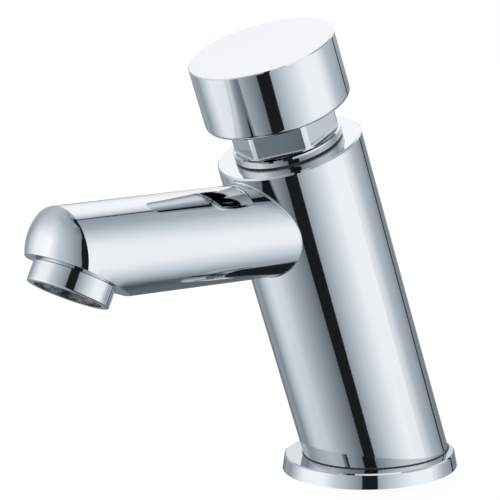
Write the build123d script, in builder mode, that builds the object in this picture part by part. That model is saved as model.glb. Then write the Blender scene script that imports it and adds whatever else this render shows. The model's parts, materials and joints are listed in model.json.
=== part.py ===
"""Self-closing push-cap basin mixer tap with a slanted round body and a ball-nosed spout.

Frame: millimetres, +Z up, spout towards -Y. The origin is the centre of the base's underside, where
the fixing stud screws in. Two slanted directions carry most of the pieces:
the body axis, along which heights are called rises, and the spout axis, along which they are reaches.
The outlet has an axis of its own, and distances down it from the spout's axis are called drops.
"""

from build123d import *
from math import asin, cos, radians, sin, sqrt
import os

os.makedirs("parts", exist_ok=True)

# Base flange and its gasket
flange_bottom_diameter = 55.5
flange_top_diameter = 54.0
flange_height = 4.7
flange_bevel = 0.4
gasket_outer_diameter = 48.0
gasket_width = 4.5
gasket_thickness = 1.8

# Body casting
body_diameter = 45.0
body_wall = 3.5
body_tilt = 18.8
body_setback = 2.9
body_length = 107.5
body_bevel = 0.5
top_wall = 8.0
seat_rise = 26.0
spigot_diameter = 34.0
spigot_clearance = 0.1

# Stud thread and hose sockets in the underside, each at its thread's drill size
stud_hole_diameter = 6.8
stud_hole_depth = 14.0
socket_diameter = 9.0
socket_depth = 13.6
socket_spacing = 21.0
filter_diameter = 8.4
filter_thickness = 1.4
filter_hole_diameter = 1.2
filter_hole_circle = 5.0
filter_hole_count = 6

# Inlet ports between casting and cartridge
port_diameter = 6.0
port_spacing = 17.0
port_overlap = 1.5
port_seal_width = 1.8
port_seal_thickness = 1.6
peg_diameter = 3.0
peg_length = 2.0
peg_radius = 11.5
peg_clearance = 0.1

# Spout and nose
spout_root_diameter = 29.4
spout_end_diameter = 27.9
spout_wall = 2.2
spout_height = 81.6
spout_rise_angle = 2.8
nose_reach = 88.4
nose_radius = 17.2
nose_wall = 2.6
outlet_reach = 89.4
outlet_lean = 28.6
outlet_drop = 6.2
outlet_wall = 2.5
outlet_bore_diameter = 18.0
outlet_thread_diameter = 22.0
outlet_thread_length = 2.8

# Aerator
ring_diameter = 24.5
ring_height = 6.1
ring_gap = 0.5
ring_lip = 2.0
ring_lip_diameter = 20.0
ring_rounding = 0.4
ring_bevel = 0.25
aerator_seal_thickness = 1.0
aerator_seal_width = 2.6
screen_thickness = 0.3
insert_recess = 1.7
insert_clearance = 0.1
insert_hole_diameter = 1.5
insert_hole_pitch = 2.8
insert_hole_rows = 3

# Bonnet
bonnet_thread_diameter = 30.0
bonnet_thread_length = 7.5
bonnet_ring_diameter = 33.0
bonnet_ring_height = 0.4
bonnet_ring_clearance = 0.2
collar_diameter = 33.6
collar_height = 2.6
edge_bevel = 0.3
neck_diameter = 32.4
neck_height = 14.1
flat_width = 28.9
flat_turn = -19.9
flat_rounding = 0.8
selector_margin = 0.01
bonnet_cavity_diameter = 25.2
bonnet_top_wall = 5.0
bonnet_recess_depth = 4.5
bonnet_recess_diameter = 18.0
bonnet_seal_section = 1.6
bonnet_seal_inset = 2.2

# Stem guide
bush_diameter = 12.4
bush_flange = 2.2
stem_seal_section = 1.9
clip_thickness = 1.1
clip_groove_depth = 0.6
clip_width = 3.7
clip_mouth_arc = 30.0

# Cartridge
cartridge_diameter = 28.4
cartridge_wall = 1.9
foot_height = 4.0
disc_thickness = 3.0
disc_gap = 0.1
disc_clearance = 0.1
disc_peg_diameter = 2.4
disc_peg_length = 1.5
port_arc = 70.0
mixing_arc = 150.0
port_slot_width = 4.0
window_diameter = 9.0
window_count = 4
window_rise = 44.0

# Mixing sleeve
sleeve_clearance = 0.3
sleeve_wall = 2.0
sleeve_floor = 2.5
sleeve_headroom = 2.4
valve_chamber = 19.4
seat_wall = 2.5
seat_bore_diameter = 11.0
sleeve_window_diameter = 8.0
sleeve_groove_height = 10.0
sleeve_groove_depth = 0.8
sleeve_seal_section = 1.35
sleeve_seal_offset = 8.0
seal_running_clearance = 0.05
key_width = 3.0
key_depth = 1.2
key_clearance = 0.3
key_groove_length = 18.0

# Turning stop
turn_range = 90.0
stop_arc = 10.0
stop_height = 4.0
stop_depth = 1.3
stop_margin = 1.5
stop_clearance = 0.3

# Stem, valve and timing piston
stem_diameter = 8.0
stem_running_clearance = 0.05
rod_diameter = 5.0
rod_tail = 2.0
press_travel = 7.0
valve_diameter = 15.0
valve_head_thickness = 4.0
valve_washer_thickness = 1.8
valve_seat_gap = 0.1
nut_width = 8.0
nut_height = 3.0
piston_height = 4.0
piston_clearance = 0.3
cup_height = 3.0
cup_lip = 1.2
spring_length = 27.5
spring_diameter = 14.4
spring_wire = 1.4
spring_turns = 6

# Push cap
cap_diameter = 45.0
cap_height = 20.2
cap_gap = 12.3
cap_top = 3.0
cap_skirt = 2.3
cap_rounding = 1.5
cap_bevel = 0.3
boss_diameter = 15.0
boss_clearance = 0.5
boss_roof = 1.5
grub_diameter = 4.0
grub_socket_width = 2.0
grub_socket_depth = 1.6
grub_access_clearance = 0.4

# Radii
body_radius = body_diameter / 2
chamber_radius = body_radius - body_wall
spout_root_radius = spout_root_diameter / 2
spout_end_radius = spout_end_diameter / 2
bonnet_thread_radius = bonnet_thread_diameter / 2
cavity_radius = bonnet_cavity_diameter / 2
cartridge_radius = cartridge_diameter / 2
cartridge_bore_radius = cartridge_radius - cartridge_wall
disc_radius = cartridge_bore_radius - disc_clearance
port_radius = port_spacing / 2
sleeve_radius = cartridge_bore_radius - sleeve_clearance
sleeve_bore_radius = sleeve_radius - sleeve_wall
stop_inner_radius = cartridge_bore_radius - stop_depth
stem_radius = stem_diameter / 2
rod_radius = rod_diameter / 2
cap_radius = cap_diameter / 2

# Rises along the body axis, from the flange's top face
foot_rise = seat_rise
fixed_disc_rise = foot_rise + foot_height
turning_disc_rise = fixed_disc_rise + disc_thickness + disc_gap
sleeve_rise = turning_disc_rise + disc_thickness
valve_seat_rise = sleeve_rise + sleeve_floor + valve_chamber
seat_top_rise = valve_seat_rise + seat_wall
window_centre_rise = seat_rise + window_rise
piston_rise = seat_top_rise + spring_length
cup_rise = piston_rise + piston_height
shoulder_rise = cup_rise + cup_height
cartridge_top_rise = body_length - bonnet_thread_length
sleeve_top_rise = cartridge_top_rise - sleeve_headroom
stop_rise = sleeve_top_rise - stop_height
collar_rise = body_length + bonnet_ring_height
neck_rise = collar_rise + collar_height
neck_top_rise = neck_rise + neck_height
recess_rise = neck_top_rise - bonnet_recess_depth
bush_rise = recess_rise - bonnet_top_wall
bush_flange_rise = bush_rise - bush_flange
clip_rise = bush_flange_rise - clip_thickness
cap_rise = body_length + cap_gap
cap_ceiling_rise = cap_rise + cap_height - cap_top
boss_rise = recess_rise + press_travel + boss_clearance
stem_top_rise = cap_ceiling_rise - boss_roof
grub_rise = (boss_rise + cap_ceiling_rise) / 2

# Drops along the outlet axis, from the spout's axis
thread_end_drop = outlet_drop + outlet_thread_length
screen_drop = thread_end_drop + aerator_seal_thickness
insert_drop = screen_drop + screen_thickness
ring_top_drop = outlet_drop + ring_gap
ring_end_drop = ring_top_drop + ring_height
lip_drop = ring_end_drop - ring_lip

# Axes. A section plane has its x across an axis and its y along it, so that a piece is drawn on it
# as half of its lengthwise cut and revolved.
lean = radians(body_tilt)
filter_end_height = socket_depth + filter_thickness
port_foot_rise = (filter_end_height - port_overlap - flange_height) / cos(lean)
body_direction = Vector(0, -sin(lean), cos(lean))
body_back = Vector(0, cos(lean), sin(lean))
body_foot = Vector(0, body_setback, flange_height)
body_axis = Axis(body_foot, body_direction)
body_section = Plane(origin=body_foot, x_dir=(1, 0, 0), z_dir=-body_back)

spout_start = body_foot + body_direction * ((spout_height - flange_height) / cos(lean))
rise_angle = radians(spout_rise_angle)
spout_direction = Vector(0, -cos(rise_angle), sin(rise_angle))
spout_axis = Axis(spout_start, spout_direction)
spout_section = Plane(origin=spout_start, x_dir=(1, 0, 0), z_dir=(0, -sin(rise_angle), -cos(rise_angle)))

outlet_angle = radians(outlet_lean)
outlet_start = spout_start + spout_direction * outlet_reach
outlet_direction = Vector(0, -sin(outlet_angle), -cos(outlet_angle))
outlet_axis = Axis(outlet_start, outlet_direction)
outlet_section = Plane(origin=outlet_start, x_dir=(1, 0, 0), z_dir=(0, cos(outlet_angle), -sin(outlet_angle)))


def across_body(rise):
    """Plane square to the body axis, with its y towards the back."""
    return Plane(origin=body_foot + body_direction * rise, x_dir=(1, 0, 0), z_dir=body_direction)


def across_outlet(drop):
    """Plane square to the outlet axis, facing the way the water leaves."""
    return Plane(origin=outlet_start + outlet_direction * drop, x_dir=(1, 0, 0), z_dir=outlet_direction)


def lathe(section, axis, *corners, mode=Mode.ADD):
    """Revolve a half section, given as (radius, distance along the axis) corners."""
    with BuildSketch(section) as half:
        with BuildLine():
            Polyline(*corners, close=True)
        make_face()
    revolve(half.sketch, axis=axis, mode=mode)


def turned(inner, outer, low, high, mode=Mode.ADD):
    """Ring or disc about the body axis, from rise low to rise high."""
    lathe(body_section, body_axis, (inner, low), (outer, low), (outer, high), (inner, high), mode=mode)


def outlet_ring(inner, outer, low, high, mode=Mode.ADD):
    """Ring or disc about the outlet axis, from drop low to drop high."""
    lathe(outlet_section, outlet_axis, (inner, low), (outer, low), (outer, high), (inner, high), mode=mode)


def spout_form(root_radius, end_radius, ball_radius, floor_drop):
    """Slightly tapered tube with a ball nose, cut off square to the outlet axis."""
    end_reach = nose_reach + sqrt(ball_radius**2 - end_radius**2)
    tip_reach = nose_reach + ball_radius
    middle = asin(end_radius / ball_radius) / 2
    arc_middle = (ball_radius * sin(middle), nose_reach + ball_radius * cos(middle))
    with BuildPart() as form:
        with BuildSketch(spout_section):
            with BuildLine():
                Polyline((0, tip_reach), (0, 0), (root_radius, 0), (end_radius, end_reach))
                ThreePointArc((end_radius, end_reach), arc_middle, (0, tip_reach))
            make_face()
        revolve(axis=spout_axis)
        split(bisect_by=across_outlet(floor_drop), keep=Keep.BOTTOM)
    return form.part


def ring_sector(rise, height, inner, outer, turn, arc, mode=Mode.ADD):
    """Part of a ring about the body axis, centred on a turn from the right-hand side."""
    with BuildSketch(across_body(rise)) as sector:
        with BuildLine():
            inside = CenterArc((0, 0), inner, turn - arc / 2, arc)
            outside = CenterArc((0, 0), outer, turn - arc / 2, arc)
            Line(inside @ 0, outside @ 0)
            Line(inside @ 1, outside @ 1)
        make_face()
    extrude(sector.sketch, amount=height, mode=mode)


def kidney_ports(rise, height, arc, turns, mode=Mode.SUBTRACT):
    """Curved slots through a ceramic disc, centred on the given turns from the right-hand port."""
    with BuildSketch(across_body(rise)) as slots:
        for turn in turns:
            SlotArc(CenterArc((0, 0), port_radius, turn - arc / 2, arc), height=port_slot_width)
    extrude(slots.sketch, amount=height, mode=mode)


def pegs(rise, length, diameter, turns, mode=Mode.ADD):
    """Small round pegs, or their holes, on the ports' circle."""
    with BuildSketch(across_body(rise)) as rounds:
        for turn in turns:
            with PolarLocations(port_radius, 1, start_angle=turn):
                Circle(diameter / 2)
    extrude(rounds.sketch, amount=length, mode=mode)


def side_windows(rise, diameter, reach):
    """Round holes through a wall, evenly spaced round the body axis."""
    for index in range(window_count):
        turn = 360 / window_count * (index + 0.5)
        ring = across_body(rise).rotated((0, 0, turn))
        side = Plane(origin=ring.origin, x_dir=ring.z_dir, z_dir=ring.x_dir)
        with BuildSketch(side) as window:
            Circle(diameter / 2)
        extrude(window.sketch, amount=reach, mode=Mode.SUBTRACT)


# Base flange: conical ring under the body, grooved below for its gasket
with BuildPart() as base_flange:
    with BuildSketch(Plane.XY):
        Circle(flange_bottom_diameter / 2)
    with BuildSketch(Plane.XY.offset(flange_height)):
        Circle(flange_top_diameter / 2)
    loft()
    chamfer(base_flange.edges().group_by(Axis.Z)[-1], flange_bevel)
    with BuildSketch(Plane.XY):
        Circle(spigot_diameter / 2 + spigot_clearance)
    extrude(amount=flange_height, mode=Mode.SUBTRACT)
    with BuildSketch(Plane.XY):
        Circle(gasket_outer_diameter / 2)
        Circle(gasket_outer_diameter / 2 - gasket_width, mode=Mode.SUBTRACT)
    extrude(amount=gasket_thickness, mode=Mode.SUBTRACT)
base_flange.part.label = "base_flange"
export_step(base_flange.part, "parts/base_flange.step")

with BuildPart() as base_gasket:
    with BuildSketch(Plane.XY):
        Circle(gasket_outer_diameter / 2)
        Circle(gasket_outer_diameter / 2 - gasket_width, mode=Mode.SUBTRACT)
    extrude(amount=gasket_thickness)
base_gasket.part.label = "base_gasket"
export_step(base_gasket.part, "parts/base_gasket.step")

# Body casting: slanted tube, solid below the cartridge seat, with a threaded top wall. The spout's port
# goes through the tube's wall only, so the top wall stays whole behind the spout's upper edge.
with BuildPart() as spout_port:
    add(spout_form(spout_root_radius, spout_end_radius, nose_radius, outlet_drop))
    turned(0, chamber_radius, 0, 2 * body_length, mode=Mode.SUBTRACT)

with BuildPart() as body_casting:
    turned(0, body_radius, -body_radius, body_length)
    top_edge = body_casting.edges().filter_by(GeomType.CIRCLE).sort_by(body_axis)[-1]
    chamfer(top_edge, body_bevel)
    split(bisect_by=Plane.XY.offset(flange_height), keep=Keep.TOP)
    with BuildSketch(Plane.XY):
        Circle(spigot_diameter / 2)
    extrude(amount=flange_height)
    turned(0, chamber_radius, seat_rise, body_length - top_wall, mode=Mode.SUBTRACT)
    turned(0, bonnet_thread_radius, seat_rise, body_length + top_wall, mode=Mode.SUBTRACT)
    add(spout_port.part, mode=Mode.SUBTRACT)
    with BuildSketch(Plane.XY):
        Circle(stud_hole_diameter / 2)
    extrude(amount=stud_hole_depth, mode=Mode.SUBTRACT)
    with BuildSketch(Plane.XY):
        with GridLocations(socket_spacing, 0, 2, 1):
            Circle(socket_diameter / 2)
    extrude(amount=socket_depth, mode=Mode.SUBTRACT)
    with BuildSketch(Plane.XY):
        with GridLocations(socket_spacing, 0, 2, 1):
            Circle(filter_diameter / 2)
    extrude(amount=filter_end_height, mode=Mode.SUBTRACT)
    with BuildSketch(across_body(port_foot_rise)):
        with GridLocations(port_spacing, 0, 2, 1):
            Circle(port_diameter / 2)
    extrude(amount=seat_rise - port_foot_rise, mode=Mode.SUBTRACT)
    with BuildSketch(across_body(seat_rise)):
        with Locations((0, peg_radius)):
            Circle(peg_diameter / 2 + peg_clearance)
    extrude(amount=-peg_length - peg_clearance, mode=Mode.SUBTRACT)
body_casting.part.label = "body_casting"
export_step(body_casting.part, "parts/body_casting.step")

# Spout: brazed into the port, its inner end flush with the chamber wall
with BuildPart() as spout_tube:
    add(spout_form(spout_root_radius, spout_end_radius, nose_radius, outlet_drop))
    outlet_ring(0, outlet_thread_diameter / 2, outlet_drop, thread_end_drop)
    spout_inside = spout_form(
        spout_root_radius - spout_wall,
        spout_end_radius - spout_wall,
        nose_radius - nose_wall,
        outlet_drop - outlet_wall,
    )
    add(spout_inside, mode=Mode.SUBTRACT)
    outlet_ring(0, outlet_bore_diameter / 2, 0, thread_end_drop, mode=Mode.SUBTRACT)
    turned(0, chamber_radius, 0, 2 * body_length, mode=Mode.SUBTRACT)
spout_tube.part.label = "spout_tube"
export_step(spout_tube.part, "parts/spout_tube.step")

# Aerator: ring screwed over the outlet's thread, holding a seal, a screen and a perforated insert
ring_radius = ring_diameter / 2
lip_radius = ring_lip_diameter / 2
outlet_thread_radius = outlet_thread_diameter / 2

with BuildPart() as aerator_housing:
    lathe(
        outlet_section,
        outlet_axis,
        (outlet_thread_radius, ring_top_drop),
        (ring_radius, ring_top_drop),
        (ring_radius, ring_end_drop),
        (lip_radius, ring_end_drop),
        (lip_radius, lip_drop),
        (outlet_thread_radius, lip_drop),
    )
    outer_edges = aerator_housing.edges().filter_by(GeomType.CIRCLE).sort_by(SortBy.RADIUS)[-2:]
    ring_edges = outer_edges.sort_by(outlet_axis)
    chamfer(ring_edges[0], ring_bevel)
    fillet(ring_edges[-1], ring_rounding)
aerator_housing.part.label = "aerator_housing"
export_step(aerator_housing.part, "parts/aerator_housing.step")

with BuildPart() as aerator_seal:
    outlet_ring(outlet_thread_radius - aerator_seal_width, outlet_thread_radius, thread_end_drop, screen_drop)
aerator_seal.part.label = "aerator_seal"
export_step(aerator_seal.part, "parts/aerator_seal.step")


def aerator_holes(drop, height):
    """Rings of small holes round a middle one."""
    with BuildSketch(across_outlet(drop)) as holes:
        Circle(insert_hole_diameter / 2)
        for row in range(1, insert_hole_rows + 1):
            with PolarLocations(row * insert_hole_pitch, 6 * row):
                Circle(insert_hole_diameter / 2)
    extrude(holes.sketch, amount=height, mode=Mode.SUBTRACT)


with BuildPart() as aerator_screen:
    outlet_ring(0, outlet_thread_radius, screen_drop, insert_drop)
    aerator_holes(screen_drop, screen_thickness)
aerator_screen.part.label = "aerator_screen"
export_step(aerator_screen.part, "parts/aerator_screen.step")

with BuildPart() as aerator_insert:
    insert_end_drop = ring_end_drop - insert_recess
    outlet_ring(0, outlet_thread_radius, insert_drop, lip_drop)
    outlet_ring(0, lip_radius - insert_clearance, lip_drop, insert_end_drop)
    aerator_holes(insert_drop, insert_end_drop - insert_drop)
aerator_insert.part.label = "aerator_insert"
export_step(aerator_insert.part, "parts/aerator_insert.step")

# Bonnet: the neck with its wrench flats, screwed into the casting's top wall over a flat ring
with BuildPart() as bonnet_ring:
    turned(
        bonnet_thread_radius + bonnet_ring_clearance,
        bonnet_ring_diameter / 2,
        body_length,
        collar_rise,
    )
bonnet_ring.part.label = "bonnet_ring"
export_step(bonnet_ring.part, "parts/bonnet_ring.step")

seal_top_rise = body_length - bonnet_seal_inset
seal_foot_rise = seal_top_rise - bonnet_seal_section
seal_inner_radius = bonnet_thread_radius - bonnet_seal_section

with BuildPart() as bonnet_nut:
    lathe(
        body_section,
        body_axis,
        (0, cartridge_top_rise),
        (bonnet_thread_radius, cartridge_top_rise),
        (bonnet_thread_radius, collar_rise),
        (collar_diameter / 2 - edge_bevel, collar_rise),
        (collar_diameter / 2, collar_rise + edge_bevel),
        (collar_diameter / 2, neck_rise - edge_bevel),
        (neck_diameter / 2, neck_rise),
        (neck_diameter / 2, neck_top_rise - edge_bevel),
        (neck_diameter / 2 - edge_bevel, neck_top_rise),
        (0, neck_top_rise),
    )
    with BuildSketch(across_body(neck_rise)):
        Circle(collar_diameter)
        RegularPolygon(flat_width / 2, 6, major_radius=False, rotation=flat_turn, mode=Mode.SUBTRACT)
    extrude(amount=neck_height, mode=Mode.SUBTRACT)
    straight_edges = bonnet_nut.edges().filter_by(GeomType.LINE)
    flat_feet = straight_edges.filter_by_position(
        body_axis,
        neck_rise - selector_margin,
        neck_rise + selector_margin,
    )
    fillet(flat_feet, flat_rounding)
    turned(0, cavity_radius, cartridge_top_rise, bush_rise, mode=Mode.SUBTRACT)
    turned(0, cavity_radius + clip_groove_depth, clip_rise, bush_flange_rise, mode=Mode.SUBTRACT)
    turned(0, bush_diameter / 2, bush_rise, recess_rise, mode=Mode.SUBTRACT)
    turned(0, bonnet_recess_diameter / 2, recess_rise, neck_top_rise, mode=Mode.SUBTRACT)
    turned(seal_inner_radius, bonnet_thread_radius, seal_foot_rise, seal_top_rise, mode=Mode.SUBTRACT)
bonnet_nut.part.label = "bonnet_nut"
export_step(bonnet_nut.part, "parts/bonnet_nut.step")

with BuildPart() as bonnet_seal:
    turned(seal_inner_radius, bonnet_thread_radius, seal_foot_rise, seal_top_rise)
    fillet(bonnet_seal.edges().filter_by(GeomType.CIRCLE), bonnet_seal_section / 4)
bonnet_seal.part.label = "bonnet_seal"
export_step(bonnet_seal.part, "parts/bonnet_seal.step")

# Stem guide in the bonnet: a plastic bush with the stem's seal, held by a spring clip
guide_radius = stem_radius + stem_running_clearance
stem_seal_rise = bush_rise

with BuildPart() as guide_bush:
    turned(guide_radius, cavity_radius, bush_flange_rise, bush_rise)
    turned(guide_radius, bush_diameter / 2, bush_rise, recess_rise)
    turned(
        guide_radius,
        guide_radius + stem_seal_section,
        stem_seal_rise,
        stem_seal_rise + stem_seal_section,
        mode=Mode.SUBTRACT,
    )
guide_bush.part.label = "guide_bush"
export_step(guide_bush.part, "parts/guide_bush.step")

with BuildPart() as stem_seal:
    turned(guide_radius, guide_radius + stem_seal_section, stem_seal_rise, stem_seal_rise + stem_seal_section)
    fillet(stem_seal.edges().filter_by(GeomType.CIRCLE), stem_seal_section / 4)
stem_seal.part.label = "stem_seal"
export_step(stem_seal.part, "parts/stem_seal.step")

with BuildPart() as seal_clip:
    turned(cavity_radius - clip_width, cavity_radius + clip_groove_depth, clip_rise, bush_flange_rise)
    ring_sector(clip_rise, clip_thickness, stem_radius, body_radius, 90, clip_mouth_arc, mode=Mode.SUBTRACT)
seal_clip.part.label = "seal_clip"
export_step(seal_clip.part, "parts/seal_clip.step")

# Inlets: a strainer in a smaller seat at the end of each hose socket, and a seal ring at each port of
# the cartridge
with BuildPart() as inlet_filters:
    with BuildSketch(Plane.XY.offset(socket_depth)):
        with GridLocations(socket_spacing, 0, 2, 1):
            Circle(filter_diameter / 2)
        for side in (-1, 1):
            with Locations((side * socket_spacing / 2, 0)):
                Circle(filter_hole_diameter / 2, mode=Mode.SUBTRACT)
                with PolarLocations(filter_hole_circle / 2, filter_hole_count):
                    Circle(filter_hole_diameter / 2, mode=Mode.SUBTRACT)
    extrude(amount=filter_thickness)
inlet_filters.part.label = "inlet_filters"
export_step(inlet_filters.part, "parts/inlet_filters.step")

port_seal_radius = port_diameter / 2 + port_seal_width

with BuildPart() as port_seals:
    with BuildSketch(across_body(foot_rise)):
        with GridLocations(port_spacing, 0, 2, 1):
            Circle(port_seal_radius)
            Circle(port_diameter / 2, mode=Mode.SUBTRACT)
    extrude(amount=port_seal_thickness)
port_seals.part.label = "port_seals"
export_step(port_seals.part, "parts/port_seals.step")

# Cartridge: foot, ceramic discs, housing and turning sleeve, clamped between the seat and the bonnet
with BuildPart() as cartridge_base:
    turned(0, cartridge_radius, foot_rise, fixed_disc_rise)
    with BuildSketch(across_body(foot_rise)):
        with GridLocations(port_spacing, 0, 2, 1):
            Circle(port_diameter / 2)
    extrude(amount=foot_height, mode=Mode.SUBTRACT)
    with BuildSketch(across_body(foot_rise)):
        with GridLocations(port_spacing, 0, 2, 1):
            Circle(port_seal_radius)
    extrude(amount=port_seal_thickness, mode=Mode.SUBTRACT)
    with BuildSketch(across_body(foot_rise)):
        with Locations((0, peg_radius)):
            Circle(peg_diameter / 2)
    extrude(amount=-peg_length)
    pegs(fixed_disc_rise, disc_peg_length, disc_peg_diameter, (90, -90))
cartridge_base.part.label = "cartridge_base"
export_step(cartridge_base.part, "parts/cartridge_base.step")

with BuildPart() as fixed_disc:
    turned(0, disc_radius, fixed_disc_rise, fixed_disc_rise + disc_thickness)
    kidney_ports(fixed_disc_rise, disc_thickness, port_arc, (0, 180))
    pegs(fixed_disc_rise, disc_peg_length, disc_peg_diameter, (90, -90), mode=Mode.SUBTRACT)
fixed_disc.part.label = "fixed_disc"
export_step(fixed_disc.part, "parts/fixed_disc.step")

with BuildPart() as turning_disc:
    turned(0, sleeve_radius, turning_disc_rise, sleeve_rise)
    kidney_ports(turning_disc_rise, disc_thickness, mixing_arc, (90,))
    pegs(sleeve_rise - disc_peg_length, disc_peg_length, disc_peg_diameter, (-60, -120), mode=Mode.SUBTRACT)
turning_disc.part.label = "turning_disc"
export_step(turning_disc.part, "parts/turning_disc.step")

with BuildPart() as cartridge_housing:
    turned(cartridge_bore_radius, cartridge_radius, fixed_disc_rise, cartridge_top_rise)
    side_windows(window_centre_rise, window_diameter, cartridge_diameter)
    ring_sector(stop_rise, stop_height, stop_inner_radius, cartridge_radius, -90, stop_arc)
cartridge_housing.part.label = "cartridge_housing"
export_step(cartridge_housing.part, "parts/cartridge_housing.step")

seal_squeeze = sleeve_clearance - seal_running_clearance
sleeve_seal_inner_radius = sleeve_radius + seal_squeeze - sleeve_seal_section
sleeve_seal_rises = (window_centre_rise - sleeve_seal_offset, window_centre_rise + sleeve_seal_offset)

with BuildPart() as mixing_sleeve:
    turned(0, sleeve_radius, sleeve_rise, sleeve_top_rise)
    turned(0, sleeve_bore_radius, sleeve_rise + sleeve_floor, valve_seat_rise, mode=Mode.SUBTRACT)
    turned(0, seat_bore_diameter / 2, valve_seat_rise, seat_top_rise, mode=Mode.SUBTRACT)
    turned(0, sleeve_bore_radius, seat_top_rise, sleeve_top_rise, mode=Mode.SUBTRACT)
    kidney_ports(sleeve_rise, sleeve_floor, mixing_arc, (90,))
    pegs(sleeve_rise, -disc_peg_length, disc_peg_diameter, (-60, -120))
    turned(
        sleeve_radius - sleeve_groove_depth,
        cartridge_radius,
        window_centre_rise - sleeve_groove_height / 2,
        window_centre_rise + sleeve_groove_height / 2,
        mode=Mode.SUBTRACT,
    )
    side_windows(window_centre_rise, sleeve_window_diameter, cartridge_diameter)
    for rise in sleeve_seal_rises:
        seal_top = rise + sleeve_seal_section
        turned(sleeve_seal_inner_radius, cartridge_radius, rise, seal_top, mode=Mode.SUBTRACT)
    with BuildSketch(across_body(sleeve_top_rise)):
        Rectangle(2 * (sleeve_bore_radius + key_depth), key_width + 2 * key_clearance)
    extrude(amount=-key_groove_length, mode=Mode.SUBTRACT)
    ring_sector(
        stop_rise - stop_clearance,
        stop_height + stop_clearance,
        stop_inner_radius - stop_clearance,
        cartridge_radius,
        -90,
        turn_range + stop_arc + 2 * stop_margin,
        mode=Mode.SUBTRACT,
    )
mixing_sleeve.part.label = "mixing_sleeve"
export_step(mixing_sleeve.part, "parts/mixing_sleeve.step")

with BuildPart() as sleeve_seals:
    for rise in sleeve_seal_rises:
        turned(
            sleeve_seal_inner_radius,
            sleeve_radius + seal_squeeze,
            rise,
            rise + sleeve_seal_section,
        )
    fillet(sleeve_seals.edges().filter_by(GeomType.CIRCLE), sleeve_seal_section / 4)
sleeve_seals.part.label = "sleeve_seals"
export_step(sleeve_seals.part, "parts/sleeve_seals.step")

# Valve stem: a rod through the valve and the piston, with a thicker shank through the bonnet
washer_foot_rise = valve_seat_rise - valve_seat_gap - valve_washer_thickness
head_rise = washer_foot_rise - valve_head_thickness
nut_rise = head_rise - nut_height
tail_rise = nut_rise - rod_tail

with BuildPart() as valve_stem:
    turned(0, rod_radius, tail_rise, shoulder_rise)
    turned(0, stem_radius, shoulder_rise, stem_top_rise)
    chamfer(valve_stem.edges().filter_by(GeomType.CIRCLE).sort_by(body_axis)[0], edge_bevel)
valve_stem.part.label = "valve_stem"
export_step(valve_stem.part, "parts/valve_stem.step")

with BuildPart() as valve_nut:
    with BuildSketch(across_body(nut_rise)):
        RegularPolygon(nut_width / 2, 6, major_radius=False)
        Circle(rod_radius, mode=Mode.SUBTRACT)
    extrude(amount=nut_height)
valve_nut.part.label = "valve_nut"
export_step(valve_nut.part, "parts/valve_nut.step")

with BuildPart() as valve_head:
    turned(rod_radius, valve_diameter / 2, head_rise, washer_foot_rise)
    rims = valve_head.edges().filter_by(GeomType.CIRCLE).sort_by(SortBy.RADIUS)[-2:]
    chamfer(rims, edge_bevel)
valve_head.part.label = "valve_head"
export_step(valve_head.part, "parts/valve_head.step")

with BuildPart() as valve_washer:
    washer_top_rise = washer_foot_rise + valve_washer_thickness
    turned(rod_radius, valve_diameter / 2 - edge_bevel, washer_foot_rise, washer_top_rise)
valve_washer.part.label = "valve_washer"
export_step(valve_washer.part, "parts/valve_washer.step")

# Timing piston with its cup seal, held against the stem's shoulder, and the spring below it
piston_radius = sleeve_bore_radius - piston_clearance

with BuildPart() as dash_piston:
    with BuildSketch(across_body(piston_rise)):
        Circle(piston_radius)
        Rectangle(2 * (sleeve_bore_radius + key_depth - key_clearance), key_width)
        Circle(rod_radius, mode=Mode.SUBTRACT)
    extrude(amount=piston_height)
dash_piston.part.label = "dash_piston"
export_step(dash_piston.part, "parts/dash_piston.step")

with BuildPart() as cup_seal:
    lip_outer = sleeve_bore_radius - seal_running_clearance
    lip_foot = lip_outer - piston_clearance
    lathe(
        body_section,
        body_axis,
        (rod_radius, cup_rise),
        (lip_foot, cup_rise),
        (lip_outer, shoulder_rise),
        (lip_outer - cup_lip, shoulder_rise),
        (lip_foot - cup_lip, cup_rise + cup_lip),
        (stem_radius + cup_lip, cup_rise + cup_lip),
        (stem_radius + cup_lip, shoulder_rise),
        (rod_radius, shoulder_rise),
    )
cup_seal.part.label = "cup_seal"
export_step(cup_seal.part, "parts/cup_seal.step")

with BuildPart() as return_spring:
    coil_rise = seat_top_rise + spring_wire / 4
    coil_height = piston_rise - seat_top_rise - spring_wire / 2
    with BuildLine():
        coil = Helix(
            pitch=coil_height / spring_turns,
            height=coil_height,
            radius=spring_diameter / 2,
            center=across_body(coil_rise).origin,
            direction=body_direction,
        )
    with BuildSketch(Plane(origin=coil @ 0, z_dir=coil % 0)):
        Circle(spring_wire / 2)
    sweep(is_frenet=True)
    turned(0, sleeve_bore_radius, seat_top_rise, piston_rise, mode=Mode.INTERSECT)
return_spring.part.label = "return_spring"
export_step(return_spring.part, "parts/return_spring.step")

# Push cap: hollow underneath, with a boss that takes the stem and a grub screw from behind
grub_plane = Plane(origin=across_body(grub_rise).origin, x_dir=(1, 0, 0), z_dir=body_back)
skirt_radius = cap_radius - cap_skirt

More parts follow.
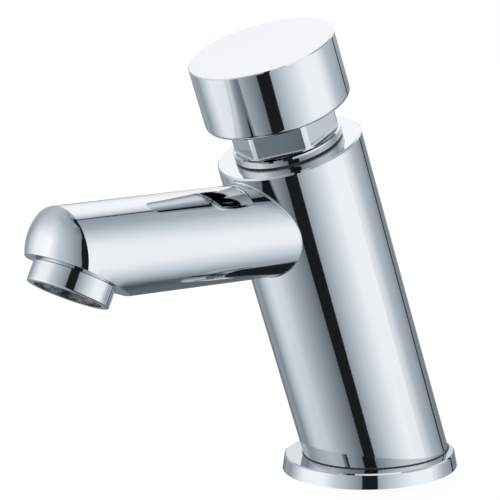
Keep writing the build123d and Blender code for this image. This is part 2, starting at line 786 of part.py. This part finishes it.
with BuildPart() as push_cap:
    turned(0, cap_radius, cap_rise, cap_rise + cap_height)
    cap_edges = push_cap.edges().filter_by(GeomType.CIRCLE).sort_by(body_axis)
    fillet(cap_edges[0], cap_rounding)
    chamfer(push_cap.edges().filter_by(GeomType.CIRCLE).sort_by(body_axis)[-1], cap_bevel)
    turned(0, skirt_radius, cap_rise, boss_rise, mode=Mode.SUBTRACT)
    turned(boss_diameter / 2, skirt_radius, boss_rise, cap_ceiling_rise, mode=Mode.SUBTRACT)
    turned(0, stem_radius, boss_rise, stem_top_rise, mode=Mode.SUBTRACT)
    with BuildSketch(grub_plane):
        Circle(grub_diameter / 2)
    extrude(amount=(boss_diameter / 2 + skirt_radius) / 2, mode=Mode.SUBTRACT)
    with BuildSketch(grub_plane.offset(boss_diameter / 2 + cap_skirt)):
        Circle(grub_diameter / 2 + grub_access_clearance)
    extrude(amount=cap_radius, mode=Mode.SUBTRACT)
push_cap.part.label = "push_cap"
export_step(push_cap.part, "parts/push_cap.step")

with BuildPart() as cap_screw:
    with BuildSketch(grub_plane.offset(stem_radius)):
        Circle(grub_diameter / 2)
    extrude(amount=boss_diameter / 2 - stem_radius)
    with BuildSketch(grub_plane.offset(boss_diameter / 2)):
        RegularPolygon(grub_socket_width / 2, 6, major_radius=False)
    extrude(amount=-grub_socket_depth, mode=Mode.SUBTRACT)
cap_screw.part.label = "cap_screw"
export_step(cap_screw.part, "parts/cap_screw.step")
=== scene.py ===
import json
from math import cos, pi, radians, sin, sqrt, tau

import bmesh
import bpy
from mathutils import Matrix, Vector


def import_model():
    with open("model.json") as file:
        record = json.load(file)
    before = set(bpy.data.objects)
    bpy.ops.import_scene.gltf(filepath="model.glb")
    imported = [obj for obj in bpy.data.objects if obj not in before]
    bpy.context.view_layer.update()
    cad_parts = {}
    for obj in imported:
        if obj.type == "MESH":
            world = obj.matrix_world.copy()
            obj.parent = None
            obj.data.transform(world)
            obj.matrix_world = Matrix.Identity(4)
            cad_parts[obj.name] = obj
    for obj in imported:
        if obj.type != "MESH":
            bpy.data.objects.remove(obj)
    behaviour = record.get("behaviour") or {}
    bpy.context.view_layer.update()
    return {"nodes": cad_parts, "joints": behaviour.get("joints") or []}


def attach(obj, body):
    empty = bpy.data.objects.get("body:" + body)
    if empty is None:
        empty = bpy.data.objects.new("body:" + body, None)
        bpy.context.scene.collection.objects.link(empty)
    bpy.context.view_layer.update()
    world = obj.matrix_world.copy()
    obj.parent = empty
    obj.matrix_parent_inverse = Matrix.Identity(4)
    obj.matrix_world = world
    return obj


# Looks of the push-cap basin mixer tap: mirror chrome on a white sweep, inside a round white light tent
# with a dark slit beside the camera and a thin dark line behind the tap. Lengths are in metres. The spout
# points to -Y and +Z is up.

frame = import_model()

# The body's slanted axis and its foot on the flange, as the joint that turns the cap has them
turn_joint = next(joint for joint in frame["joints"] if joint["name"] == "cap_turn")
BODY_DIRECTION = Vector(turn_joint["axis"]).normalized()
BODY_FOOT = Vector(turn_joint["pos_m"])

# Sizes that the added trim shares with the solids
BODY_RADIUS = 0.0225
SPOUT_ROOT_RADIUS = 0.0147
SPOUT_END_RADIUS = 0.01395
SPOUT_END_REACH = 0.0985
SPOUT_START_HEIGHT = 0.0816
SPOUT_RISE = radians(2.8)
FLANGE_HEIGHT = 0.0047
SEAM_RADIUS = 0.0003
BEAD_RADIUS = 0.00045
SPIGOT_REGION_RADIUS = 0.0175
SPIGOT_REGION_HEIGHT = 0.016
STUD_THREAD = {"radius": 0.0034, "pitch": 0.00125, "depth": 0.0132}
HOSE_THREAD = {"radius": 0.0045, "pitch": 0.001, "depth": 0.0128}
HOSE_OFFSET = 0.0105

# The chrome's tint, how much it mirrors on the whole, and its tint at grazing angles
CHROME_TINT = (0.672, 0.690, 0.708)
CHROME_REFLECTANCE = 0.70
CHROME_EDGE = 0.82

# The light tent: a drum round the tap that only polished surfaces see
TENT_RADIUS = 0.45
TENT_CENTRE_Y = -0.05
TENT_LOW = -0.60
TENT_HIGH = 1.00
TENT_SEGMENTS = 180
TENT_COOLNESS = 0.16

# The middles of its floor and its lid have greys of their own, which begin and are full at these radii,
# on whatever lies this close to the drum's ends
LID_DEPTH = 0.001
UNDER_SHADE = 0.15
UNDER_RADII = (0.39, 0.29)
OVER_SHADE = 0.88
OVER_RADII = (0.42, 0.22)

# Plan of the tent's light, in steps of a twentieth as it shows in the chrome: for each height, from the
# lowest up, greys at angles from the front, positive towards +X. Two big soft panels stand in front to the
# left and to the right, a third one hangs behind and above, and between them the cloth is in shade.
WALLS = [
    (-0.60, [
        (-180, 0.35), (-165, 0.30), (-135, 0.40), (-95, 0.50), (-80, 0.65), (-55, 0.75), (-25, 0.70),
        (0, 0.60), (40, 0.35), (60, 0.50), (90, 0.75), (130, 0.80), (155, 0.65), (180, 0.35),
    ]),
    (-0.40, [
        (-180, 0.50), (-150, 0.40), (-130, 0.40), (-105, 0.60), (-92, 0.55), (-80, 0.70), (-60, 0.80),
        (-35, 0.80), (0, 0.65), (40, 0.40), (60, 0.55), (80, 0.70), (115, 0.90), (140, 0.80), (160, 0.65),
        (180, 0.50),
    ]),
    (-0.20, [
        (-180, 0.45), (-160, 0.45), (-130, 0.40), (-105, 0.60), (-92, 0.55), (-70, 0.80), (-55, 0.90),
        (-30, 0.90), (0, 0.70), (40, 0.40), (60, 0.60), (80, 0.75), (120, 0.95), (140, 0.85), (165, 0.65),
        (180, 0.45),
    ]),
    (-0.05, [
        (-180, 0.55), (-160, 0.50), (-146, 0.85), (-137, 0.50), (-115, 0.50), (-102, 0.65), (-88, 0.60),
        (-70, 0.80), (-55, 0.95), (-20, 0.95), (0, 0.80), (40, 0.50), (60, 0.65), (90, 0.85), (110, 0.95),
        (135, 0.95), (155, 0.70), (180, 0.55),
    ]),
    (0.10, [
        (-180, 0.60), (-170, 0.55), (-155, 0.55), (-142, 0.90), (-132, 0.90), (-125, 0.65), (-105, 0.70),
        (-90, 0.60), (-70, 0.80), (-50, 0.95), (-20, 1.00), (0, 0.80), (40, 0.50), (60, 0.60), (90, 0.85),
        (110, 0.95), (135, 0.95), (155, 0.75), (180, 0.60),
    ]),
    (0.25, [
        (-180, 0.85), (-160, 1.00), (-110, 0.95), (-95, 0.70), (-80, 0.70), (-50, 0.95), (-20, 1.00),
        (0, 0.80), (40, 0.50), (60, 0.55), (90, 0.80), (118, 0.95), (135, 0.85), (160, 0.75), (180, 0.85),
    ]),
    (0.40, [
        (-180, 0.95), (-150, 1.00), (-115, 1.00), (-90, 0.70), (-55, 0.80), (-30, 0.90), (0, 0.75),
        (40, 0.50), (60, 0.55), (100, 0.85), (125, 0.85), (155, 0.70), (180, 0.95),
    ]),
    (0.65, [
        (-180, 0.60), (-165, 0.85), (-150, 0.95), (-120, 0.95), (-95, 0.75), (-30, 0.70), (15, 0.60),
        (30, 0.40), (60, 0.50), (110, 0.70), (150, 0.65), (180, 0.60),
    ]),
    (0.95, [
        (-180, 0.60), (-150, 0.95), (-115, 0.90), (-90, 0.70), (-30, 0.65), (10, 0.55), (25, 0.90),
        (45, 0.85), (60, 0.65), (100, 0.75), (150, 0.65), (180, 0.60),
    ]),
    (TENT_HIGH, [
        (-180, 0.90), (-60, 0.70), (-45, 0.60), (-20, 0.60), (0, 0.40), (15, 0.90), (60, 0.95), (180, 0.90),
    ]),
]

# Angles of the slit's two edges by height: it leans to the left over the nose
SLIT_START = [
    (-0.38, 41.0), (-0.22, 38.6), (0.40, 38.6), (0.65, 30.0), (0.72, 24.0), (0.88, 10.5), (1.00, 0.0),
]
SLIT_END = [
    (-0.38, 61.4), (-0.22, 60.0), (0.45, 60.0), (0.65, 48.0), (0.75, 38.0), (0.88, 25.0), (1.00, 14.0),
]
SLIT_SOFTNESS = 0.35
SLIT_SHADE = 0.11

# The thin dark line behind the tap: its angle past the back and its strength by height
LINE_ANGLE = [(-0.05, 0.0), (0.10, 6.0), (0.50, 2.2)]
LINE_STRENGTH = [(-0.17, 0.0), (-0.09, 1.0), (0.16, 1.0), (0.24, 0.0), (0.50, 0.0), (0.58, 1.0)]
LINE_CORE = 0.72
LINE_RIM = 3.24
LINE_SHADE = 0.09

# The white sweep and the lamp above it
SWEEP_SIZE = 30.0
SWEEP_GREY = 0.94
SWEEP_GLOW = 0.85
WORLD_GREY = 0.95
LAMP_PLACE = (-0.4, -0.3, 1.2)
LAMP_AIM = (0.0, -0.03, 0.0)
LAMP_SIZE = 0.9
LAMP_POWER = 12.0

# The camera stands where the photograph's did, with the same long lens: turned this far from the front
# and above level, this far off, and moved sideways and up from the line through the origin
CAMERA_AZIMUTH = radians(47.6)
CAMERA_ELEVATION = radians(10.66)
CAMERA_ROLL = radians(-1.7)
CAMERA_DISTANCE = 0.7655
CAMERA_SIDEWAYS = -0.0361
CAMERA_UPWARDS = 0.0697
CAMERA_LENS = 172.8


def linear(shade):
    """Light of a grey as it shows on a screen, from 0 to 1."""
    return shade / 12.92 if shade <= 0.04045 else ((shade + 0.055) / 1.055) ** 2.4


class Shader:
    """A material's or the world's node tree, with short calls for the nodes used here."""

    def __init__(self, owner):
        owner.use_nodes = True
        self.tree = owner.node_tree
        self.tree.nodes.clear()

    def node(self, kind, **settings):
        made = self.tree.nodes.new(kind)
        for name, value in settings.items():
            setattr(made, name, value)
        return made

    def join(self, source, target):
        self.tree.links.new(source, target)

    def put(self, socket, value):
        if isinstance(value, bpy.types.NodeSocket):
            self.join(value, socket)
        else:
            socket.default_value = value

    def math(self, operation, first, second=0.0):
        made = self.node("ShaderNodeMath", operation=operation)
        self.put(made.inputs[0], first)
        self.put(made.inputs[1], second)
        return made.outputs[0]

    def mapped(self, value, low, high, to_low=0.0, to_high=1.0):
        """A value moved from one range to another, and held at the ends."""
        made = self.node("ShaderNodeMapRange")
        for socket, given in zip(made.inputs, (value, low, high, to_low, to_high)):
            self.put(socket, given)
        return made.outputs[0]

    def length(self, first, second):
        """Length of a flat vector."""
        squares = [self.math("POWER", side, 2.0) for side in (first, second)]
        return self.math("SQRT", self.math("ADD", *squares))

    def ramp(self, value, stops):
        """Colour ramp of greys or colours, from (place, colour) stops."""
        made = self.node("ShaderNodeValToRGB")
        elements = made.color_ramp.elements
        while len(elements) < len(stops):
            elements.new(0.5)
        for element, (place, colour) in zip(elements, stops):
            element.position = place
            element.color = (*colour, 1.0)
        self.put(made.inputs[0], value)
        return made.outputs[0]

    def mix(self, factor, first, second):
        made = self.node("ShaderNodeMix", data_type="RGBA")
        for socket, given in zip((made.inputs[0], made.inputs[6], made.inputs[7]), (factor, first, second)):
            self.put(socket, given)
        return made.outputs[2]

    def place(self, stretch=(1.0, 1.0, 1.0), turn=(0.0, 0.0, 0.0)):
        """The surface's own coordinates in metres, stretched or turned."""
        where = self.node("ShaderNodeTexCoord")
        mapping = self.node("ShaderNodeMapping")
        mapping.inputs["Rotation"].default_value = turn
        mapping.inputs["Scale"].default_value = stretch
        self.join(where.outputs["Object"], mapping.inputs["Vector"])
        return mapping.outputs[0]

    def noise(self, where, scale, detail=2.0, roughness=0.5):
        made = self.node("ShaderNodeTexNoise")
        self.put(made.inputs["Vector"], where)
        self.put(made.inputs["Scale"], scale)
        self.put(made.inputs["Detail"], detail)
        self.put(made.inputs["Roughness"], roughness)
        return made.outputs["Fac"]

    def bump(self, height, strength, distance, before=None):
        made = self.node("ShaderNodeBump")
        self.put(made.inputs["Height"], height)
        self.put(made.inputs["Strength"], strength)
        self.put(made.inputs["Distance"], distance)
        if before is not None:
            self.join(before, made.inputs["Normal"])
        return made.outputs[0]

    def surface(self, **values):
        made = self.node("ShaderNodeBsdfPrincipled")
        for name, value in values.items():
            self.put(made.inputs[name.replace("_", " ")], value)
        return made

    def blend(self, factor, first, second):
        made = self.node("ShaderNodeMixShader")
        self.put(made.inputs[0], factor)
        self.join(first.outputs[0], made.inputs[1])
        self.join(second.outputs[0], made.inputs[2])
        return made

    def finish(self, shader):
        output = self.node("ShaderNodeOutputMaterial")
        self.join(shader.outputs[0], output.inputs["Surface"])


def new_material(name):
    made = bpy.data.materials.new(name)
    return made, Shader(made)


def chrome_surface(shader, roughness=0.035):
    """Mirror chrome: a faint polishing wave, buffing lines too fine to count and a trace of haze."""
    where = shader.place()
    haze = shader.noise(where, 55.0, detail=4.0, roughness=0.6)
    dull = [c * 0.985 for c in CHROME_TINT]
    colour = shader.mix(shader.mapped(haze, 0.35, 0.70), (*dull, 1.0), (*CHROME_TINT, 1.0))
    buffing = shader.noise(shader.place(stretch=(1.0, 0.12, 0.12)), 9000.0, detail=2.0)
    rough = shader.math("ADD", shader.mapped(haze, 0.3, 0.8, roughness, roughness * 1.5),
                        shader.mapped(buffing, 0.4, 0.8, 0.0, 0.01))
    swell = shader.bump(shader.noise(where, 70.0, detail=1.0), 0.03, 0.001)
    lines = shader.bump(buffing, 0.01, 0.0001, before=swell)
    edge = (CHROME_EDGE, CHROME_EDGE, CHROME_EDGE, 1.0)
    return shader.surface(Base_Color=colour, Specular_Tint=edge, Metallic=1.0, Roughness=rough, Normal=lines)


def brass_surface(shader, tint=(0.60, 0.42, 0.16), roughness=0.28):
    """Machined brass: turning marks, a little staining and a soft sheen."""
    where = shader.place()
    stain = shader.noise(where, 160.0, detail=5.0, roughness=0.65)
    colour = shader.mix(shader.mapped(stain, 0.35, 0.75), (*tint, 1.0), (*[c * 0.72 for c in tint], 1.0))
    rough = shader.mapped(stain, 0.3, 0.8, roughness * 0.8, roughness * 1.4)
    marks = shader.noise(shader.place(stretch=(1.0, 1.0, 8.0)), 2500.0, detail=3.0)
    normal = shader.bump(marks, 0.15, 0.0002)
    return shader.surface(Base_Color=colour, Metallic=1.0, Roughness=rough, Normal=normal)


def chrome_finish(name):
    made, shader = new_material(name)
    shader.finish(chrome_surface(shader))
    return made


def brass_finish(name):
    made, shader = new_material(name)
    shader.finish(brass_surface(shader))
    return made


def casting_finish(name):
    """Plated outside, with bare machined brass underneath and in the bores."""
    made, shader = new_material(name)
    split = shader.node("ShaderNodeSeparateXYZ")
    shader.join(shader.place(), split.inputs[0])
    away = shader.length(split.outputs["X"], split.outputs["Y"])
    inside = shader.math("LESS_THAN", away, SPIGOT_REGION_RADIUS)
    below = shader.math("LESS_THAN", split.outputs["Z"], SPIGOT_REGION_HEIGHT)
    bare = shader.math("MULTIPLY", inside, below)
    shader.finish(shader.blend(bare, chrome_surface(shader), brass_surface(shader)))
    return made


def steel_finish(name, tint=(0.62, 0.62, 0.63), roughness=0.25):
    """Stainless steel with drawn lines and small changes of gloss."""
    made, shader = new_material(name)
    drawn = shader.noise(shader.place(stretch=(1.0, 6.0, 6.0)), 1800.0, detail=4.0)
    colour = shader.mix(shader.mapped(drawn, 0.3, 0.7), (*tint, 1.0), (*[c * 0.85 for c in tint], 1.0))
    rough = shader.mapped(drawn, 0.3, 0.8, roughness * 0.7, roughness * 1.5)
    normal = shader.bump(drawn, 0.1, 0.0001)
    shader.finish(shader.surface(Base_Color=colour, Metallic=1.0, Roughness=rough, Normal=normal))
    return made


def rubber_finish(name, shade=0.028):
    """Matt black rubber with a pebbled moulded skin and pale dust in its hollows."""
    made, shader = new_material(name)
    where = shader.place()
    pebbles = shader.noise(where, 2600.0, detail=3.0)
    dust = shader.noise(where, 240.0, detail=5.0, roughness=0.7)
    colour = shader.mix(shader.mapped(dust, 0.5, 0.8), (shade, shade, shade, 1.0), (0.075, 0.073, 0.07, 1.0))
    rough = shader.mapped(dust, 0.3, 0.8, 0.55, 0.8)
    normal = shader.bump(pebbles, 0.35, 0.0002)
    shader.finish(shader.surface(Base_Color=colour, Roughness=rough, Normal=normal))
    return made


def plastic_finish(name, tint, roughness=0.35):
    """Moulded plastic: satin, with flow shading and a fine moulded grain."""
    made, shader = new_material(name)
    where = shader.place()
    flow = shader.noise(where, 120.0, detail=3.0)
    grain = shader.noise(where, 4000.0, detail=2.0)
    colour = shader.mix(shader.mapped(flow, 0.35, 0.7), (*tint, 1.0), (*[c * 0.93 for c in tint], 1.0))
    rough = shader.mapped(flow, 0.3, 0.8, roughness, roughness * 1.4)
    normal = shader.bump(grain, 0.15, 0.0001)
    shader.finish(shader.surface(Base_Color=colour, Roughness=rough, Normal=normal))
    return made


def axis_frame(direction):
    """Two unit vectors square to a direction, the first of them level."""
    side = Vector((1.0, 0.0, 0.0))
    return side, direction.cross(side).normalized()


def spout_radius(reach):
    """Radius of the tapered spout at a reach from the body's axis."""
    return SPOUT_ROOT_RADIUS + (SPOUT_END_RADIUS - SPOUT_ROOT_RADIUS) * reach / SPOUT_END_REACH


def joint_bead():
    """The small fillet where the spout meets the body, rolled round the seam."""
    lean = BODY_DIRECTION
    start = BODY_FOOT + lean * ((SPOUT_START_HEIGHT - BODY_FOOT.z) / lean.z)
    along = Vector((0.0, -cos(SPOUT_RISE), sin(SPOUT_RISE)))
    side, raised = axis_frame(along)
    turns, steps = 240, 8
    rings = []
    for index in range(turns):
        angle = tau * index / turns
        radial = side * cos(angle) + raised * sin(angle)
        reach = BODY_RADIUS
        for _ in range(3):
            offset = start + radial * (spout_radius(reach) + BEAD_RADIUS) - BODY_FOOT
            across = offset - lean * offset.dot(lean)
            move = along - lean * along.dot(lean)
            a, b = move.dot(move), across.dot(move)
            c = across.dot(across) - (BODY_RADIUS + BEAD_RADIUS) ** 2
            reach = (-b + sqrt(b * b - a * c)) / a
        centre = start + radial * (spout_radius(reach) + BEAD_RADIUS) + along * reach
        outward = centre - BODY_FOOT
        outward = (outward - lean * outward.dot(lean)).normalized()
        first, last = -radial, -outward
        ring = []
        for step in range(steps + 1):
            way = first.slerp(last, step / steps)
            ring.append(centre + way * BEAD_RADIUS)
        inner = centre + (first + last).normalized() * BEAD_RADIUS * 2.2
        ring.append(inner)
        rings.append(ring)
    return mesh_from_rings("joint_bead", rings)


def foot_shade_bead():
    """Dark bead in the corner between the slanted body and the flange: painted shade for the gap there."""
    turns, steps = 180, 10
    stretch = 1 / BODY_DIRECTION.z
    rings = []
    for index in range(turns):
        angle = tau * index / turns
        outward = Vector((cos(angle) * stretch, sin(angle), 0.0)).normalized()
        across, along = BODY_RADIUS * cos(angle), BODY_RADIUS * stretch * sin(angle)
        centre = Vector((across, BODY_FOOT.y + along, FLANGE_HEIGHT))
        ring = []
        for step in range(steps):
            way = tau * step / steps
            raised = Vector((0.0, 0.0, SEAM_RADIUS * sin(way)))
            ring.append(centre + outward * (SEAM_RADIUS * cos(way)) + raised)
        rings.append(ring)
    return mesh_from_rings("foot_shade_bead", rings)


def thread_ridge(name, sideways, radius, pitch, depth):
    """Crest of an inside thread: a sharp ridge wound up the wall of a hole from the underside."""
    steps = 36
    crest = radius - 0.35 * pitch
    root = radius + 0.0001
    first, last = pitch, depth - pitch / 2
    count = int((last - first) / pitch * steps)
    rings = []
    for index in range(count + 1):
        turn = tau * index / steps
        height = first + pitch * index / steps
        fade = min(1.0, index / steps, (count - index) / steps)
        tip = radius + (crest - radius) * fade
        section = ((root, height - 0.42 * pitch), (tip, height - 0.06 * pitch), (tip, height + 0.06 * pitch),
                   (root, height + 0.42 * pitch))
        rings.append([(sideways + r * cos(turn), r * sin(turn), z) for r, z in section])
    return mesh_from_rings(name, rings, closed=False, smooth=False)


def mesh_from_rings(name, rings, closed=True, smooth=True):
    """Mesh of closed rings of points, joined each to the next, and the last to the first if closed."""
    mesh = bpy.data.meshes.new(name)
    work = bmesh.new()
    verts = [[work.verts.new(point) for point in ring] for ring in rings]
    count = len(rings[0])
    pairs = list(zip(verts, verts[1:] + verts[:1])) if closed else list(zip(verts, verts[1:]))
    for first, second in pairs:
        for index in range(count):
            following = (index + 1) % count
            work.faces.new((first[index], first[following], second[following], second[index]))
    if not closed:
        work.faces.new(verts[0])
        work.faces.new(list(reversed(verts[-1])))
    bmesh.ops.recalc_face_normals(work, faces=work.faces)
    work.to_mesh(mesh)
    work.free()
    made = bpy.data.objects.new(name, mesh)
    bpy.context.scene.collection.objects.link(made)
    for polygon in mesh.polygons:
        polygon.use_smooth = smooth
    return made


def dress(piece, material, body="root"):
    """Gives a new piece its finish and the body it rides on."""
    piece.data.materials.append(material)
    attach(piece, body)


chrome = chrome_finish("polished_chrome")
FINISHES = {
    "chrome": chrome,
    "brass": brass_finish("machined_brass"),
    "steel": steel_finish("stainless_steel"),
    "rubber": rubber_finish("black_rubber"),
    "white_plastic": plastic_finish("white_plastic", (0.78, 0.78, 0.76)),
    "black_plastic": plastic_finish("black_plastic", (0.018, 0.018, 0.02), roughness=0.3),
    "ceramic": plastic_finish("lapped_ceramic", (0.86, 0.85, 0.81), roughness=0.12),
}
for node in frame["nodes"].values():
    for material_slot in node.material_slots:
        material_slot.material = FINISHES[material_slot.material.name]

frame["nodes"]["body_casting"].material_slots[0].material = casting_finish("plated_casting")

dress(joint_bead(), chrome)
# Black rubber bead at the body's foot: painted shade for the gap between body and flange
dress(foot_shade_bead(), FINISHES["rubber"])
for thread_name, sideways, thread in (
    ("stud_thread", 0.0, STUD_THREAD),
    ("left_hose_thread", -HOSE_OFFSET, HOSE_THREAD),
    ("right_hose_thread", HOSE_OFFSET, HOSE_THREAD),
):
    dress(thread_ridge(thread_name, sideways, **thread), FINISHES["brass"])


def tent_light(shade):
    """Light that shows as a grey in the chrome, cooled a little where it is darker."""
    light = linear(shade) / CHROME_REFLECTANCE
    cool = (1.0 - linear(shade)) * TENT_COOLNESS
    return (light * (1 - cool), light, light * (1 + cool))


def by_height(shader, rise, places):
    """Value that changes with height, held as a hundredth of it in a ramp's grey."""
    stops = [((height - TENT_LOW) / (TENT_HIGH - TENT_LOW), (value / 100,) * 3) for height, value in places]
    return shader.math("MULTIPLY", shader.ramp(rise, stops), 100.0)


def back_line(shader, split, rise):
    """Strength of the thin dark line behind the tap."""
    backward = shader.math("SUBTRACT", split.outputs["Y"], TENT_CENTRE_Y)
    turn = shader.math("MULTIPLY", shader.math("ARCTAN2", split.outputs["X"], backward), -180 / pi)
    off = shader.math("ABSOLUTE", shader.math("SUBTRACT", turn, by_height(shader, rise, LINE_ANGLE)))
    line = shader.mapped(off, LINE_CORE, LINE_RIM, 1.0, 0.0)
    return shader.math("MULTIPLY", line, by_height(shader, rise, LINE_STRENGTH))


def tent_material():
    """Light of the tent by angle and height, with its slit and line, its dark floor and its pale lid."""
    made, shader = new_material("tent_light")
    where = shader.node("ShaderNodeNewGeometry").outputs["Position"]
    split = shader.node("ShaderNodeSeparateXYZ")
    shader.join(where, split.inputs[0])
    forward = shader.math("SUBTRACT", TENT_CENTRE_Y, split.outputs["Y"])
    turn = shader.math("MULTIPLY", shader.math("ARCTAN2", split.outputs["X"], forward), 180 / pi)
    place = shader.mapped(turn, -180, 180)
    light, last_height = None, None
    for height, stops in WALLS:
        wall = shader.ramp(place, [((angle + 180) / 360, tent_light(shade)) for angle, shade in stops])
        if light is None:
            light = wall
        else:
            light = shader.mix(shader.mapped(split.outputs["Z"], last_height, height), light, wall)
        last_height = height
    rise = shader.mapped(split.outputs["Z"], TENT_LOW, TENT_HIGH)
    away = shader.length(split.outputs["X"], forward)
    below = shader.math("LESS_THAN", split.outputs["Z"], TENT_LOW + LID_DEPTH)
    under = shader.math("MULTIPLY", shader.mapped(away, *UNDER_RADII), below)
    light = shader.mix(under, light, (*tent_light(UNDER_SHADE), 1.0))
    above = shader.math("GREATER_THAN", split.outputs["Z"], TENT_HIGH - LID_DEPTH)
    over = shader.math("MULTIPLY", shader.mapped(away, *OVER_RADII), above)
    past_start = shader.math("SUBTRACT", turn, by_height(shader, rise, SLIT_START))
    before_end = shader.math("SUBTRACT", by_height(shader, rise, SLIT_END), turn)
    opened = shader.mapped(past_start, -SLIT_SOFTNESS, SLIT_SOFTNESS)
    closed = shader.mapped(before_end, -SLIT_SOFTNESS, SLIT_SOFTNESS)
    slit = shader.math("MULTIPLY", opened, closed)
    light = shader.mix(slit, light, (*tent_light(SLIT_SHADE), 1.0))
    light = shader.mix(back_line(shader, split, rise), light, (*tent_light(LINE_SHADE), 1.0))
    light = shader.mix(over, light, (*tent_light(OVER_SHADE), 1.0))
    glow = shader.node("ShaderNodeEmission")
    shader.join(light, glow.inputs["Color"])
    shader.finish(glow)
    made.cycles.emission_sampling = "NONE"
    return made


def tent():
    """Drum of light, open to the camera, the lamps and all but polished surfaces."""
    work = bmesh.new()
    depth = TENT_HIGH - TENT_LOW
    sides = {"segments": TENT_SEGMENTS, "radius1": TENT_RADIUS, "radius2": TENT_RADIUS}
    bmesh.ops.create_cone(work, cap_ends=True, depth=depth, **sides)
    bmesh.ops.translate(work, verts=work.verts, vec=(0, TENT_CENTRE_Y, (TENT_HIGH + TENT_LOW) / 2))
    mesh = bpy.data.meshes.new("light_tent")
    work.to_mesh(mesh)
    work.free()
    made = bpy.data.objects.new("light_tent", mesh)
    bpy.context.scene.collection.objects.link(made)
    mesh.materials.append(tent_material())
    made.visible_camera = False
    made.visible_diffuse = False
    made.visible_transmission = False
    made.visible_volume_scatter = False
    made.visible_shadow = False


def floor():
    """White sweep that keeps only the tap's soft shadow."""
    mesh = bpy.data.meshes.new("floor")
    corners = [(SWEEP_SIZE * x, SWEEP_SIZE * y, 0) for x, y in ((-1, -1), (1, -1), (1, 1), (-1, 1))]
    mesh.from_pydata(corners, [], [(0, 1, 2, 3)])
    made = bpy.data.objects.new("floor", mesh)
    bpy.context.scene.collection.objects.link(made)
    material, shader = new_material("white_floor")
    paper = shader.node("ShaderNodeBsdfDiffuse")
    paper.inputs["Color"].default_value = (SWEEP_GREY, SWEEP_GREY, SWEEP_GREY, 1.0)
    glow = shader.node("ShaderNodeEmission")
    glow.inputs["Strength"].default_value = 1.0
    path = shader.node("ShaderNodeLightPath")
    mixed = shader.node("ShaderNodeMixShader")
    shader.join(shader.math("MULTIPLY", path.outputs["Is Camera Ray"], SWEEP_GLOW), mixed.inputs[0])
    shader.join(paper.outputs[0], mixed.inputs[1])
    shader.join(glow.outputs[0], mixed.inputs[2])
    shader.finish(mixed)
    mesh.materials.append(material)
    made.visible_glossy = False


def world():
    """White behind the tap, and even light on whatever is not polished."""
    made = bpy.data.worlds.new("studio")
    bpy.context.scene.world = made
    shader = Shader(made)
    path = shader.node("ShaderNodeLightPath")
    seen = shader.math("MAXIMUM", path.outputs["Is Camera Ray"], path.outputs["Is Transmission Ray"])
    back = shader.node("ShaderNodeBackground")
    unseen = (WORLD_GREY, WORLD_GREY, WORLD_GREY, 1.0)
    shader.join(shader.mix(seen, unseen, (1.0, 1.0, 1.0, 1.0)), back.inputs["Color"])
    output = shader.node("ShaderNodeOutputWorld")
    shader.join(back.outputs[0], output.inputs["Surface"])
    made.cycles.sampling_method = "NONE"


def top_lamp():
    """Square lamp that lights the floor and the unpolished pieces."""
    data = bpy.data.lights.new("top_lamp", "AREA")
    data.size = LAMP_SIZE
    data.energy = LAMP_POWER
    made = bpy.data.objects.new("top_lamp", data)
    bpy.context.scene.collection.objects.link(made)
    made.location = LAMP_PLACE
    made.rotation_euler = (Vector(LAMP_AIM) - Vector(LAMP_PLACE)).to_track_quat("-Z", "Y").to_euler()
    made.visible_glossy = False
    made.visible_camera = False


def camera():
    """The photograph's viewpoint."""
    data = bpy.data.cameras.new("camera")
    data.lens = CAMERA_LENS
    data.sensor_width = 36.0
    data.clip_start = 0.01
    made = bpy.data.objects.new("camera", data)
    bpy.context.scene.collection.objects.link(made)
    level = Vector((cos(CAMERA_AZIMUTH), sin(CAMERA_AZIMUTH), 0.0))
    up = Vector((0.0, 0.0, 1.0))
    back = level.cross(up) * cos(CAMERA_ELEVATION) + up * sin(CAMERA_ELEVATION)
    upright = back.cross(level)
    place = back * CAMERA_DISTANCE + level * CAMERA_SIDEWAYS + upright * CAMERA_UPWARDS
    right = level * cos(CAMERA_ROLL) + upright * sin(CAMERA_ROLL)
    turn = Matrix((right, back.cross(right), back)).transposed()
    made.matrix_world = Matrix.Translation(place) @ turn.to_4x4()
    bpy.context.scene.camera = made


tent()
floor()
world()
top_lamp()
camera()
bpy.context.scene.view_settings.view_transform = "Standard"
